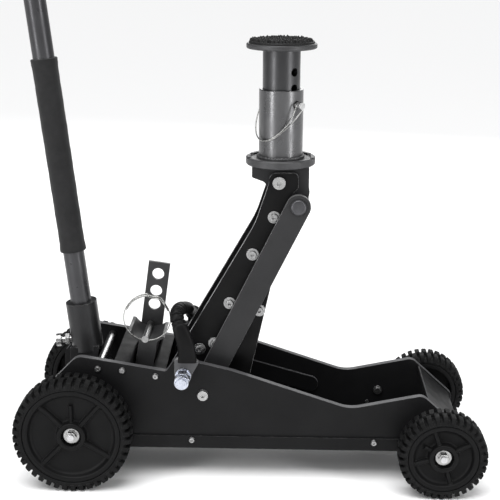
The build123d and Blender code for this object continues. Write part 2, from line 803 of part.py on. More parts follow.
# ---- handle socket, pivot bolts, roller and clamp screw ------------------------------------------
cheek_gap = 12.5
cheek_points = [(-28, 30), (-28, 8), (-12, -12), (4, -17), (14, -9), (17, 34)]
with BuildPart() as handle_socket:
    with BuildSketch(up_handle(24)):
        Circle(socket_r)
    extrude(amount=socket_top - 24)
    with BuildSketch(side(0)):
        with BuildLine():
            FilletPolyline(*[(handle_pivot[0] + x, handle_pivot[1] + z) for x, z in cheek_points],
                           radius=[1, 5, 6, 7, 7, 1], close=True)
        make_face()
    extrude(amount=socket_flat, both=True)
    for way in (-1, 1):
        with BuildSketch(Plane(origin=(rear_x, way * socket_flat, 0), x_dir=(1, 0, 0), z_dir=(0, -way, 0))):
            with Locations(handle_pivot):
                Rectangle(120, 260)
        extrude(amount=-10, mode=Mode.SUBTRACT)
    with BuildSketch(side(0)):
        with Locations(handle_pivot):
            Rectangle(90, 60)
    extrude(amount=cheek_gap, both=True, mode=Mode.SUBTRACT)
    with BuildSketch(up_handle(28)):
        Circle(handle_tube_r + 0.2)
    extrude(amount=120, mode=Mode.SUBTRACT)
    for centre, radius in [(handle_pivot, pivot_bolt_r + pin_fit), (roller, 4 + pin_fit)]:
        with BuildSketch(side(0)):
            with Locations(centre):
                Circle(radius)
        extrude(amount=40, both=True, mode=Mode.SUBTRACT)
    clamp_line = Plane(origin=up_handle(41).origin, z_dir=-up_handle(41).x_dir)
    with BuildSketch(clamp_line):
        Circle(5)
    extrude(amount=40, mode=Mode.SUBTRACT)
keep("handle_socket", handle_socket.part)

with BuildPart() as clamp_screw:
    with BuildSketch(clamp_line.offset(handle_tube_r + 0.3)):
        Circle(5)
    extrude(amount=40 - handle_tube_r)
    with BuildSketch(clamp_line.offset(socket_r + 2)):
        RegularPolygon(9.5, 6)
    extrude(amount=7)
    with BuildSketch(clamp_line.offset(40)):
        Circle(10.5)
    extrude(amount=8)
keep("clamp_screw", clamp_screw.part)

with BuildPart() as pump_roller:
    with BuildSketch(side(0)):
        with Locations(roller):
            Circle(roller_r)
    extrude(amount=cheek_gap - 0.7, both=True)
    with BuildSketch(side(0)):
        with Locations(roller):
            Circle(4)
    extrude(amount=socket_flat - 0.3, both=True)
keep("pump_roller", pump_roller.part)

with BuildPart() as handle_pivot_bolts:
    with BuildSketch(side(-cheek_gap - 0.3)):
        with Locations(handle_pivot):
            Circle(pivot_bolt_r)
    extrude(amount=ear_in + ear_t - cheek_gap - 0.3)
    with BuildSketch(side(-ear_in - ear_t)):
        with Locations(handle_pivot):
            RegularPolygon(12, 6)
    extrude(amount=6)
    mirror(about=Plane.XZ)
keep("handle_pivot_bolts", handle_pivot_bolts.part)

# ---- handle: tube, foam sleeve and end grip ------------------------------------------------------
tube_foot, tube_top, tube_bore = 30, handle_length - 30, 13.4
sleeve_from, sleeve_to, sleeve_r, sleeve_flare = 186, 486, 19.3, 1.2
end_grip_from = 925

with BuildPart() as handle_tube:
    with BuildSketch(up_handle(tube_foot)):
        Circle(handle_tube_r)
        Circle(tube_bore, mode=Mode.SUBTRACT)
    extrude(amount=tube_top - tube_foot)
keep("handle_tube", handle_tube.part)

with BuildPart() as foam_sleeve:
    with BuildSketch(up_handle(sleeve_from)):
        Circle(sleeve_r)
        Circle(handle_tube_r, mode=Mode.SUBTRACT)
    extrude(amount=sleeve_to - sleeve_from)
    for start in (sleeve_from, sleeve_to - 12):
        with BuildSketch(up_handle(start)):
            Circle(sleeve_r + sleeve_flare)
            Circle(handle_tube_r, mode=Mode.SUBTRACT)
        extrude(amount=12)
keep("foam_sleeve", foam_sleeve.part)

with BuildPart() as hand_grip:
    with BuildSketch(up_handle(end_grip_from)):
        Circle(grip_r)
    extrude(amount=dome_centre - end_grip_from)
    with Locations(Location(up_handle(dome_centre))):
        Sphere(grip_r)
    with BuildSketch(up_handle(end_grip_from)):
        Circle(handle_tube_r)
    extrude(amount=tube_top - end_grip_from, mode=Mode.SUBTRACT)
keep("hand_grip", hand_grip.part)

# ---- storage tray, cradle, post and the spare lock pin -------------------------------------------
tray_tilt = -9.5
cradle_centre, cradle_r, cradle_t, cradle_half = (108.1, 241.3), 37.3, 3.5, 35
cradle_rim, cradle_foot, pedestal_w, pedestal_shift = -23.2, -79, 28, 4.5

with BuildPart() as storage_tray:
    with BuildSketch(side(0)):
        with BuildLine():
            FilletPolyline((59, 189.5), (85, 185.1), (85, 165), (118, 159.5), (118, 179.6), (138, 176.2),
                           (138, 173), (121, 175.9), (121, 156), (82, 162.5), (82, 182.6), (59, 186.5),
                           radius=[0.5, 4, 2, 2, 4, 0.5, 0.5, 1, 4, 4, 1, 0.5], close=True)
        make_face()
    extrude(amount=plate_in, both=True)
keep("storage_tray", storage_tray.part)

cradle_turn = Location((*cradle_centre, 0), (0, 0, tray_tilt))
with BuildPart() as storage_cradle:
    with BuildSketch(side(0)):
        with Locations(cradle_turn):
            Circle(cradle_r)
            with Locations((pedestal_shift, cradle_foot / 2)):
                Rectangle(pedestal_w, -cradle_foot)
            Circle(cradle_r - cradle_t, mode=Mode.SUBTRACT)
            with Locations((0, cradle_rim + 50)):
                Rectangle(100, 100, mode=Mode.SUBTRACT)
    extrude(amount=cradle_half, both=True)
keep("storage_cradle", storage_cradle.part)

post_top, post_lean, post_w, post_t, post_length = (119.4, 314.7), -7.8, 34.5, 5, 152
post_holes, post_hole_r = (19.5, 48, 70.9), 9.5
with BuildPart() as storage_post:
    with BuildSketch(side(cradle_half + post_t)):
        with Locations(Location((*post_top, 0), (0, 0, post_lean))):
            with Locations((0, -post_length / 2)):
                Rectangle(26, post_length)
            with Locations((0, -62)):
                Rectangle(post_w, 124)
            with Locations(*[(0, -drop) for drop in post_holes]):
                Circle(post_hole_r, mode=Mode.SUBTRACT)
    extrude(amount=post_t)
keep("storage_post", storage_post.part)

trough = cradle_r - cradle_t - lock_pin_r - 0.05
stored = (cradle_centre[0] + trough * sin(radians(tray_tilt)),
          cradle_centre[1] - trough * cos(radians(tray_tilt)))
with BuildPart() as stored_pin:
    with BuildSketch(side(-38)):
        with Locations(stored):
            Circle(lock_pin_r)
    extrude(amount=-68)
    with BuildSketch(side(-cradle_half - 2)):
        with Locations(stored):
            Circle(pin_head_r)
    extrude(amount=pin_head_t)
keep("stored_pin", stored_pin.part)

ring_r, ring_centre, ring_y = 35.5, (106.8, 246.8), -41
with BuildPart() as stored_pin_ring:
    with Locations(Location((rear_x + ring_centre[0], ring_y, ring_centre[1]), (90, 0, 0))):
        Torus(ring_r, wire_r)
keep("stored_pin_ring", stored_pin_ring.part)

# ---- carry handle: lugs, rubber boots and a moulded grip arching over the frame ------------------
with BuildPart() as carry_lugs:
    with BuildSketch(side(-plate_out)):
        with BuildLine():
            FilletPolyline((153, 199), (192, 197), (178.5, 172), (176, 160), (156, 160), (153, 172),
                           radius=[4, 4, 8, 8, 8, 8], close=True)
        make_face()
        with Locations(arm_pivot):
            Circle(13)
            Circle(8, mode=Mode.SUBTRACT)
    extrude(amount=lug_t)
    mirror(about=Plane.XZ)
keep("carry_lugs", carry_lugs.part)

grip_points = [(163, -86, 245), (156.5, -77, 262), (158, -62, 268), (163.4, -30, 261), (166, 10, 247),
               (164, 42, 234), (169, 75, 217)]
carry_grip_r = 11
with BuildPart() as carry_grip:
    with BuildLine():
        arch = Spline(*[(rear_x + x, y, z) for x, y, z in grip_points])
    with BuildSketch(Plane(origin=arch @ 0, z_dir=arch % 0)):
        Circle(carry_grip_r)
    sweep()
keep("carry_grip", carry_grip.part)

boot_y, boot_foot, boot_rise, boot_size = 91.2, 195, 7, (27.5, 13.6)
boots = []
for end, way in ((0, -1), (1, 1)):
    with BuildPart() as boot:
        neck = arch @ end
        outward = arch % end * (1 if end else -1)
        foot = Plane(origin=(rear_x + 172.7, way * boot_y, boot_foot), x_dir=(1, 0, 0), z_dir=(0, 0, 1))
        with BuildSketch(foot):
            RectangleRounded(*boot_size, 5)
        extrude(amount=boot_rise)
        with BuildSketch(foot.offset(boot_rise)):
            RectangleRounded(*boot_size, 5)
        with BuildSketch(Plane(origin=neck, x_dir=(1, 0, 0), z_dir=-outward)):
            RectangleRounded(24, 23, 11)
        loft()
        with BuildSketch(side(way * plate_out)):
            with BuildLine():
                Polyline((140, 180), (200, 180), (200, 205), (140, 205), close=True)
            make_face()
        extrude(amount=-way * lug_t, mode=Mode.SUBTRACT)
    boots.append(boot.part)
keep("carry_boots", Compound(children=boots))

# ---- one file for each piece ---------------------------------------------------------------------
os.makedirs("parts", exist_ok=True)
for name, part in pieces.items():
    export_step(part, f"parts/{name}.step")
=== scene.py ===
"""Looks for the off-road floor jack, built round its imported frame.

Sizes are in millimetres where they are passed to at() or mm(), and metres once they are in Blender.
"""

import json
import random
from math import cos, floor, pi, radians, sin

import bmesh
import bpy
from mathutils import Matrix, Vector


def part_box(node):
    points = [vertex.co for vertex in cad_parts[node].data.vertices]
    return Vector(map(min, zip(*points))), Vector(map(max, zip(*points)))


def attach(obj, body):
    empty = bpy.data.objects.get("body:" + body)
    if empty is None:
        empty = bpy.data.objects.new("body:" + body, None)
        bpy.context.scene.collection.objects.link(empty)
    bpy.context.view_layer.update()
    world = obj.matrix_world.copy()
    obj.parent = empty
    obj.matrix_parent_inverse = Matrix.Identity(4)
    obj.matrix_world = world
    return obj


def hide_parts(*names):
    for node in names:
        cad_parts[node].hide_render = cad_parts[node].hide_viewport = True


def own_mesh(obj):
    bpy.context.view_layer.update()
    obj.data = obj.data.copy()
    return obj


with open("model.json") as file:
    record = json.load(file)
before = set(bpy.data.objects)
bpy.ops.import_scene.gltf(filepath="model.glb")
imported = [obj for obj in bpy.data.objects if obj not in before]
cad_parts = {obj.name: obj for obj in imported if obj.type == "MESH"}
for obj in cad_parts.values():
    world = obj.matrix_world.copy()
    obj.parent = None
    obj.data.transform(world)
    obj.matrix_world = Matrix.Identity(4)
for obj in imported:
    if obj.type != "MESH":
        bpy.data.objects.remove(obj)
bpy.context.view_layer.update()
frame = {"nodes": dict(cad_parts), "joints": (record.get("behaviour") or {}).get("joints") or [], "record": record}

joints = {joint["name"]: joint for joint in frame["joints"]}
REAR_AXLE_X = joints["rear_right_wheel_spin"]["pos_m"][0]


def mm(value):
    """Millimetres as metres."""
    return value / 1000


def at(x, y, z):
    """A place given in millimetres from the floor under the middle of the rear axle."""
    return Vector((REAR_AXLE_X + mm(x), mm(y), mm(z)))


# ---- camera, floor and light ---------------------------------------------------------------------
CAMERA_PLACE = (313.7, -1710.7, 831.4)
CAMERA_YAW, CAMERA_PITCH, CAMERA_ROLL = -0.0286, 0.2759, 0.0042
CAMERA_LENS = 82.28


def make_camera():
    ahead = Vector((sin(CAMERA_YAW) * cos(CAMERA_PITCH), cos(CAMERA_YAW) * cos(CAMERA_PITCH),
                    -sin(CAMERA_PITCH)))
    level_right = Vector((cos(CAMERA_YAW), -sin(CAMERA_YAW), 0))
    level_up = level_right.cross(ahead)
    right = level_right * cos(CAMERA_ROLL) + level_up * sin(CAMERA_ROLL)
    up = level_up * cos(CAMERA_ROLL) - level_right * sin(CAMERA_ROLL)
    data = bpy.data.cameras.new("camera")
    data.lens = CAMERA_LENS
    data.sensor_width = 36
    data.clip_end = 200
    camera = bpy.data.objects.new("camera", data)
    turn = Matrix((right, up, -ahead)).transposed().to_4x4()
    camera.matrix_world = Matrix.Translation(at(*CAMERA_PLACE)) @ turn
    bpy.context.scene.collection.objects.link(camera)
    bpy.context.scene.camera = camera


def make_floor():
    size = 60
    mesh = bpy.data.meshes.new("floor")
    corners = [(-size, -size, 0), (size, -size, 0), (size, size, 0), (-size, size, 0)]
    mesh.from_pydata(corners, [], [(0, 1, 2, 3)])
    ground = bpy.data.objects.new("floor", mesh)
    bpy.context.scene.collection.objects.link(ground)
    paint = bpy.data.materials.new("floor")
    paint.use_nodes = True
    shader = paint.node_tree.nodes["Principled BSDF"]
    shader.inputs["Base Color"].default_value = (0.93, 0.93, 0.93, 1)
    shader.inputs["Roughness"].default_value = 0.9
    shader.inputs["Specular IOR Level"].default_value = 0.1
    mesh.materials.append(paint)


def soft_box(name, place, target, width, height, power):
    data = bpy.data.lights.new(name, "AREA")
    data.shape = "RECTANGLE"
    data.size, data.size_y, data.energy = width, height, power
    lamp = bpy.data.objects.new(name, data)
    lamp.location = place
    lamp.rotation_euler = (Vector(target) - Vector(place)).to_track_quat("-Z", "Y").to_euler()
    bpy.context.scene.collection.objects.link(lamp)


def make_light():
    world = bpy.data.worlds.new("studio")
    world.use_nodes = True
    backdrop = world.node_tree.nodes["Background"]
    backdrop.inputs["Color"].default_value = (0.95, 0.97, 1.0, 1)
    backdrop.inputs["Strength"].default_value = 0.13
    bpy.context.scene.world = world
    overhead = bpy.data.lights.new("overhead", "SUN")
    overhead.energy = 2.95
    overhead.angle = radians(50)
    lamp = bpy.data.objects.new("overhead", overhead)
    lamp.rotation_euler = (radians(16), radians(-8), 0)
    bpy.context.scene.collection.objects.link(lamp)
    soft_box("left_box", (-1.6, -1.5, 1.1), (0, 0, 0.5), 0.45, 2.2, 30)
    soft_box("right_box", (1.7, -1.2, 1.1), (0, 0, 0.5), 0.4, 2.2, 26)
    soft_box("back_box", (0.6, 2.4, 1.5), (0, 0, 0.4), 2.2, 1.2, 30)


# ---- materials -----------------------------------------------------------------------------------
def surface(name, colour, rough, metallic=0.0, specular=0.5, spread=0.2, patch=14, rough_spread=0.08,
            grain=700, grain_depth=0.03, stretch=(1, 1, 1), round_edge=0.7, wear_and_highlight=None, wear_and_highlight_share=0.5,
            narrow_face_highlight=None, sheen=0.0):
    """A procedural finish: patches of colour, grain in the relief, softened corners and edges painted lighter, as
    worn paint on some finishes and as a painted highlight on others.

    Sizes are in millimetres. wear_and_highlight is the colour painted onto corners: worn paint on some finishes,
    and a painted highlight on the plates, arm, link and lug. narrow_face_highlight is the painted highlight colour
    of the narrow faces of a plate, whose broad faces look along Y.
    """
    material = bpy.data.materials.new(name)
    material.use_nodes = True
    nodes, links = material.node_tree.nodes, material.node_tree.links
    shader = nodes["Principled BSDF"]
    shader.inputs["Metallic"].default_value = metallic
    shader.inputs["Specular IOR Level"].default_value = specular
    shader.inputs["Sheen Weight"].default_value = sheen

    def noise(scale, detail, stretched=False):
        texture = nodes.new("ShaderNodeTexNoise")
        texture.inputs["Scale"].default_value = scale
        texture.inputs["Detail"].default_value = detail
        links.new((stretched_place if stretched else place.outputs["Object"]), texture.inputs["Vector"])
        return texture.outputs["Fac"]

    def mix(share, first, second):
        blender = nodes.new("ShaderNodeMix")
        blender.data_type = "RGBA"
        links.new(share, blender.inputs[0])
        for socket, value in ((blender.inputs[6], first), (blender.inputs[7], second)):
            if isinstance(value, bpy.types.NodeSocket):
                links.new(value, socket)
            else:
                socket.default_value = (*value, 1)
        return blender.outputs[2]

    def span(value, low, high, to_low, to_high):
        mapped = nodes.new("ShaderNodeMapRange")
        for key, number in (("From Min", low), ("From Max", high), ("To Min", to_low), ("To Max", to_high)):
            mapped.inputs[key].default_value = number
        links.new(value, mapped.inputs["Value"])
        return mapped.outputs["Result"]

    def times(first, second):
        product = nodes.new("ShaderNodeMath")
        product.operation = "MULTIPLY"
        links.new(first, product.inputs[0])
        if isinstance(second, bpy.types.NodeSocket):
            links.new(second, product.inputs[1])
        else:
            product.inputs[1].default_value = second
        return product.outputs[0]

    place = nodes.new("ShaderNodeTexCoord")
    mapping = nodes.new("ShaderNodeMapping")
    mapping.inputs["Scale"].default_value = stretch
    links.new(place.outputs["Object"], mapping.inputs["Vector"])
    stretched_place = mapping.outputs["Vector"]

    patches = noise(patch, 6)
    fine = noise(grain, 4, stretched=True)
    darker = tuple(channel * (1 - spread) for channel in colour)
    lighter = tuple(min(1, channel * (1 + spread)) for channel in colour)
    tint = mix(span(patches, 0.3, 0.7, 0, 1), darker, lighter)
    tint = mix(times(span(fine, 0.35, 0.7, 0, 1), 0.35), tint, lighter)

    geometry = nodes.new("ShaderNodeNewGeometry")
    soft_corner = nodes.new("ShaderNodeBevel")
    soft_corner.samples = 4
    soft_corner.inputs["Radius"].default_value = mm(round_edge)
    # Painted highlight: faces that do not look along Y, such as the top and end edges of a plate, are painted
    # lighter, standing for the light they catch.
    if narrow_face_highlight:
        split = nodes.new("ShaderNodeSeparateXYZ")
        links.new(geometry.outputs["True Normal"], split.inputs[0])
        across = nodes.new("ShaderNodeMath")
        across.operation = "ABSOLUTE"
        links.new(split.outputs["Y"], across.inputs[0])
        tint = mix(span(across.outputs[0], 0.45, 0.25, 0, 1), tint, narrow_face_highlight)
    # Corners are painted towards a lighter colour: worn paint on some finishes, and a painted highlight along the
    # edges of the plates, arm, link and lug.
    if wear_and_highlight:
        facing = nodes.new("ShaderNodeVectorMath")
        facing.operation = "DOT_PRODUCT"
        links.new(soft_corner.outputs["Normal"], facing.inputs[0])
        links.new(geometry.outputs["Normal"], facing.inputs[1])
        corner = span(facing.outputs["Value"], 0.985, 0.86, 0, 1)
        worn_and_lit_mask = times(times(corner, span(noise(110, 3), 0.4, 0.6, 0.15, 1)), wear_and_highlight_share)
        tint = mix(worn_and_lit_mask, tint, wear_and_highlight)
    links.new(tint, shader.inputs["Base Color"])

    mottled = noise(patch * 3.1, 5, stretched=True)
    links.new(span(mottled, 0.3, 0.7, rough - rough_spread, rough + rough_spread), shader.inputs["Roughness"])
    relief = nodes.new("ShaderNodeBump")
    relief.inputs["Strength"].default_value = 0.6
    relief.inputs["Distance"].default_value = mm(grain_depth)
    links.new(fine, relief.inputs["Height"])
    links.new(soft_corner.outputs["Normal"], relief.inputs["Normal"])
    links.new(relief.outputs["Normal"], shader.inputs["Normal"])
    return material


def make_materials():
    """Every finish on the jack, under the record's slot names where it has one."""
    # Painted highlight: the plate's corners are painted light grey and its narrow faces lighter, standing for the
    # light its glossy edges catch.
    painted_edge_highlight = (0.34, 0.34, 0.35)
    return {
        "inner_tube": surface("dark_grey_metallic_coat", (0.06, 0.06, 0.062), 0.36, metallic=0.9,
                              specular=0.4, spread=0.12, grain=1400, grain_depth=0.035,
                              wear_and_highlight=(0.3, 0.3, 0.3), wear_and_highlight_share=0.6),
        "socket": surface("dark_socket_coat", (0.024, 0.024, 0.025), 0.36, metallic=0.5, specular=0.3,
                          spread=0.15, grain=1200, grain_depth=0.03, wear_and_highlight=(0.3, 0.3, 0.3),
                          wear_and_highlight_share=0.6),
        "arm_fastener": surface("dull_plating", (0.32, 0.32, 0.32), 0.32, metallic=1, spread=0.2,
                                patch=160, rough_spread=0.1, grain=1600, grain_depth=0.01,
                                wear_and_highlight=(0.7, 0.7, 0.7)),
        "plate": surface("black_plate_paint", (0.0068, 0.0068, 0.0072), 0.44, specular=0.13, grain=1500,
                         grain_depth=0.012, wear_and_highlight=painted_edge_highlight, wear_and_highlight_share=0.55, narrow_face_highlight=(0.07, 0.07, 0.073)),
        "skid": surface("black_skid_paint", (0.006, 0.006, 0.0063), 0.45, specular=0.12, grain=1500,
                        grain_depth=0.015, wear_and_highlight=(0.2, 0.2, 0.2), wear_and_highlight_share=0.5),
        "tray": surface("black_tray_paint", (0.005, 0.005, 0.0053), 0.5, specular=0.1, grain=1500,
                        grain_depth=0.015, wear_and_highlight=(0.3, 0.3, 0.3), wear_and_highlight_share=0.6),
        # Painted highlight: the arm's corners are painted light grey and its narrow faces lighter, standing for
        # the light its edges catch.
        "arm": surface("black_arm_paint", (0.004, 0.004, 0.0042), 0.38, specular=0.12, grain=1500,
                       grain_depth=0.01, wear_and_highlight=(0.6, 0.6, 0.6), wear_and_highlight_share=0.9, narrow_face_highlight=(0.12, 0.12, 0.125)),
        # Painted highlight: the link's corners are painted light grey and its narrow faces lighter, standing for
        # the bright line of light along its edges.
        "link": surface("grey_link_coat", (0.024, 0.024, 0.025), 0.44, metallic=0.1, specular=0.2,
                        grain=1100, grain_depth=0.03, wear_and_highlight=(0.4, 0.4, 0.41), wear_and_highlight_share=0.8,
                        narrow_face_highlight=(0.12, 0.12, 0.12)),
        "head": surface("grey_head_coat", (0.02, 0.02, 0.021), 0.48, metallic=0.1, specular=0.2,
                        grain=700, grain_depth=0.05, wear_and_highlight=(0.38, 0.38, 0.39), wear_and_highlight_share=0.8),
        "bright_fastener": surface("bright_plating", (0.4, 0.4, 0.398), 0.3, metallic=1, spread=0.12,
                                   patch=160, rough_spread=0.1, grain=1600, grain_depth=0.01,
                                   wear_and_highlight=(0.8, 0.8, 0.8)),
        "zinc": surface("blue_zinc_plating", (0.54, 0.57, 0.65), 0.25, metallic=1, spread=0.14, patch=90,
                        rough_spread=0.1, grain=1300, grain_depth=0.01, wear_and_highlight=(0.92, 0.9, 0.8)),
        "axle": surface("ground_steel", (0.56, 0.56, 0.57), 0.32, metallic=1, spread=0.12, patch=120,
                        rough_spread=0.1, grain=2200, grain_depth=0.01, wear_and_highlight=(0.85, 0.85, 0.85)),
        "dark_pin": surface("black_oxide", (0.075, 0.075, 0.08), 0.42, metallic=0.8, spread=0.25,
                            patch=90, grain=1100, grain_depth=0.03, wear_and_highlight=(0.4, 0.4, 0.4), wear_and_highlight_share=0.4),
        "rim": surface("black_nylon", (0.0038, 0.0038, 0.004), 0.5, specular=0.13, spread=0.12,
                       grain=1700, grain_depth=0.03, round_edge=1.0, wear_and_highlight=(0.03, 0.03, 0.03),
                       wear_and_highlight_share=0.5),
        "tyre": surface("black_tread_rubber", (0.0042, 0.0042, 0.0044), 0.66, specular=0.14, spread=0.35,
                        patch=60, grain=1500, grain_depth=0.08, round_edge=0.8, wear_and_highlight=(0.03, 0.03, 0.03),
                        wear_and_highlight_share=0.55),
        "casting": surface("painted_casting", (0.02, 0.02, 0.021), 0.6, spread=0.3, patch=40, grain=450,
                           grain_depth=0.18, wear_and_highlight=(0.16, 0.16, 0.16), wear_and_highlight_share=0.5),
        "spring": surface("spring_steel", (0.36, 0.36, 0.38), 0.35, metallic=1, spread=0.2, patch=150,
                          grain=1300, grain_depth=0.02, wear_and_highlight=(0.7, 0.7, 0.7)),
        "column": surface("grey_metallic_coat", (0.125, 0.125, 0.128), 0.3, metallic=0.9, specular=0.4,
                          spread=0.12, grain=1400, grain_depth=0.035, wear_and_highlight=(0.4, 0.4, 0.4),
                          wear_and_highlight_share=0.6),
        "handle": surface("dark_metallic_coat", (0.055, 0.055, 0.058), 0.34, metallic=0.6, specular=0.3,
                          spread=0.12, grain=1400, grain_depth=0.03, wear_and_highlight=(0.35, 0.35, 0.35),
                          wear_and_highlight_share=0.6),
        "saddle": surface("cast_grey_coat", (0.05, 0.05, 0.052), 0.5, metallic=0.45, spread=0.25,
                          patch=55, grain=420, grain_depth=0.2, wear_and_highlight=(0.3, 0.3, 0.31), wear_and_highlight_share=0.7),
        "weld": surface("coated_weld", (0.07, 0.07, 0.072), 0.42, metallic=0.5, spread=0.3, patch=120,
                        grain=300, grain_depth=0.3, wear_and_highlight=(0.3, 0.3, 0.3)),
        "grip_pad": surface("studded_rubber", (0.006, 0.006, 0.0063), 0.62, specular=0.3, spread=0.3,
                            patch=90, grain=900, grain_depth=0.1, wear_and_highlight=(0.06, 0.06, 0.06)),
        "pin_steel": surface("plated_pin", (0.6, 0.6, 0.6), 0.3, metallic=1, spread=0.15, patch=120,
                             rough_spread=0.1, grain=1400, grain_depth=0.015, wear_and_highlight=(0.9, 0.9, 0.88)),
        "keeper_wire": surface("spring_wire", (0.36, 0.36, 0.35), 0.28, metallic=1, spread=0.15,
                               patch=200, grain=1500, grain_depth=0.01, round_edge=0.2),
        "foam": surface("foam_rubber", (0.014, 0.014, 0.0145), 0.85, specular=0.2, spread=0.25, patch=40,
                        grain=900, grain_depth=0.22, sheen=0.12, round_edge=0.5),
        "grip_rubber": surface("moulded_rubber", (0.0032, 0.0032, 0.0034), 0.5, specular=0.14, spread=0.2,
                               patch=40, grain=1200, grain_depth=0.06, wear_and_highlight=(0.07, 0.07, 0.07),
                               wear_and_highlight_share=0.5),
        # Painted highlight: the lug's corners are painted light grey and its narrow faces lighter, standing for
        # the light its edges catch.
        "lug": surface("grey_lug_coat", (0.085, 0.085, 0.088), 0.42, metallic=0.5, spread=0.15,
                       grain=1100, grain_depth=0.04, wear_and_highlight=(0.6, 0.6, 0.6), wear_and_highlight_share=0.9,
                       narrow_face_highlight=(0.2, 0.2, 0.2)),
        "cradle": surface("grey_cradle_coat", (0.03, 0.03, 0.031), 0.42, metallic=0.3, spread=0.2,
                          grain=1000, grain_depth=0.04, wear_and_highlight=(0.3, 0.3, 0.3), wear_and_highlight_share=0.7),
    }


OWN_FINISH = {"saddle_head": "head", "storage_tray": "tray", "handle_tube": "handle",
              "handle_socket": "socket", "extension_inner_tube": "inner_tube", "arm_bolts": "arm_fastener",
              "frame_screws": "arm_fastener", "stored_pin": "arm_fastener"}


def finish_cad_nodes():
    """Gives each CAD node the finish of its slot in the record, or its own."""
    slots = {row["node"]: row["material_slot"] for row in frame["record"]["subparts"]}
    for node, piece in frame["nodes"].items():
        finish = finishes[OWN_FINISH.get(node, slots[node])]
        piece.data.materials.clear()
        piece.data.materials.append(finish)


# ---- mesh building -------------------------------------------------------------------------------
def piece_from(name, bm, body, finish, replaced=(), crease=38):
    """Closes off a bmesh as a piece that rides on a body, smooth but for its sharp edges."""
    bmesh.ops.recalc_face_normals(bm, faces=bm.faces)
    limit = radians(crease)
    for face in bm.faces:
        face.smooth = True
    for edge in bm.edges:
        edge.smooth = len(edge.link_faces) == 2 and edge.calc_face_angle(pi) < limit
    mesh = bpy.data.meshes.new(name)
    bm.to_mesh(mesh)
    bm.free()
    mesh.materials.append(finishes[finish])
    piece = bpy.data.objects.new(name, mesh)
    bpy.context.scene.collection.objects.link(piece)
    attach(piece, body)
    if replaced:
        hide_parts(*replaced)
    return piece


def skin(bm, rings, closed_along=False, capped=True):
    """Joins rings of points with quads. Each ring is closed on itself."""
    made = [[bm.verts.new(point) for point in ring] for ring in rings]
    around = len(made[0])
    pairs = list(zip(made, made[1:]))
    if closed_along:
        pairs.append((made[-1], made[0]))
    for first, second in pairs:
        for i in range(around):
            j = (i + 1) % around
            bm.faces.new((first[i], first[j], second[j], second[i]))
    if capped and not closed_along:
        bm.faces.new(made[0][::-1])
        bm.faces.new(made[-1])


def across(direction):
    """Two unit vectors square to a direction and to each other."""
    side = direction.cross(Vector((0, 1, 0)))
    if side.length < 0.1:
        side = direction.cross(Vector((1, 0, 0)))
    side.normalize()
    return side, direction.cross(side).normalized()


def turned(bm, profile, centre, direction, steps=96):
    """Revolves a closed profile of (distance along, radius), in metres, about an axis."""
    first, second = across(direction)
    rings = []
    for step in range(steps):
        angle = 2 * pi * step / steps
        outward = first * cos(angle) + second * sin(angle)
        rings.append([centre + direction * along + outward * radius for along, radius in profile])
    skin(bm, rings, closed_along=True)


def rounded(profile, radius, steps=4):
    """A closed profile with each corner rounded to an arc-like curve, as a list of pairs."""
    smooth = []
    count = len(profile)
    for i, corner in enumerate(profile):
        corner = Vector(corner)
        before, after = Vector(profile[i - 1]) - corner, Vector(profile[(i + 1) % count]) - corner
        start = corner + before.normalized() * min(radius, before.length * 0.45)
        end = corner + after.normalized() * min(radius, after.length * 0.45)
        for step in range(steps + 1):
            t = step / steps
            smooth.append(tuple(start * (1 - t) ** 2 + corner * 2 * t * (1 - t) + end * t * t))
    return smooth


def through(points, steps):
    """A smooth line through points, steps to a span."""
    ends = [points[0] * 2 - points[1], *points, points[-1] * 2 - points[-2]]
    line = []
    for a, b, c, d in zip(ends, ends[1:], ends[2:], ends[3:]):
        for step in range(steps):
            t = step / steps
            line.append(0.5 * (2 * b + (c - a) * t + (2 * a - 5 * b + 4 * c - d) * t * t
                               + (3 * b - a - 3 * c + d) * t ** 3))
    line.append(points[-1])
    return line


def swept(bm, line, radius, sides=16, closed=False):
    """A tube along a line of points; radius is a length or a function of the share of the way along."""
    count = len(line)
    normal = None
    rings = []
    for i, point in enumerate(line):
        before = line[i - 1] if i or closed else line[0]
        after = line[(i + 1) % count] if i < count - 1 or closed else line[-1]
        ahead = (after - before).normalized()
        if normal is None:
            normal = across(ahead)[0]
        normal = (normal - ahead * normal.dot(ahead)).normalized()
        other = ahead.cross(normal)
        size = radius(i / (count - 1)) if callable(radius) else radius
        rings.append([point + (normal * cos(2 * pi * k / sides) + other * sin(2 * pi * k / sides)) * size
                      for k in range(sides)])
    skin(bm, rings, closed_along=closed)


# ---- wheels --------------------------------------------------------------------------------------
RIB_ANGLES = (49, 135, 226, 329)
STUB_RIB_ANGLE = 90
TREAD_DEPTH = 6


class Wheel:
    """One wheel's own frame: depth in from the outer face, radius and angle, in millimetres and degrees."""

    def __init__(self, end, side):
        self.side = -1 if side == "right" else 1
        self.name = f"{end}_{side}"
        self.body = f"wheel_{end}_{side}"
        low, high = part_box(f"{end}_tyre_{side}")
        self.centre = (low + high) / 2
        self.tyre_r = (high.z - low.z) * 500
        self.width = (high.y - low.y) * 1000
        self.face = max(abs(low.y), abs(high.y)) * 1000
        rim_low, rim_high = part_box(f"{end}_rim_{side}")
        self.rim_r = (rim_high.z - rim_low.z) * 500

    def point(self, depth, radius, angle):
        turn = radians(angle)
        return Vector((self.centre.x + mm(radius) * cos(turn), self.side * mm(self.face - depth),
                       self.centre.z + mm(radius) * sin(turn)))

    def revolve(self, bm, profile, steps=120):
        rings = [[self.point(depth, radius, 360 * step / steps) for depth, radius in profile]
                 for step in range(steps)]
        skin(bm, rings, closed_along=True)


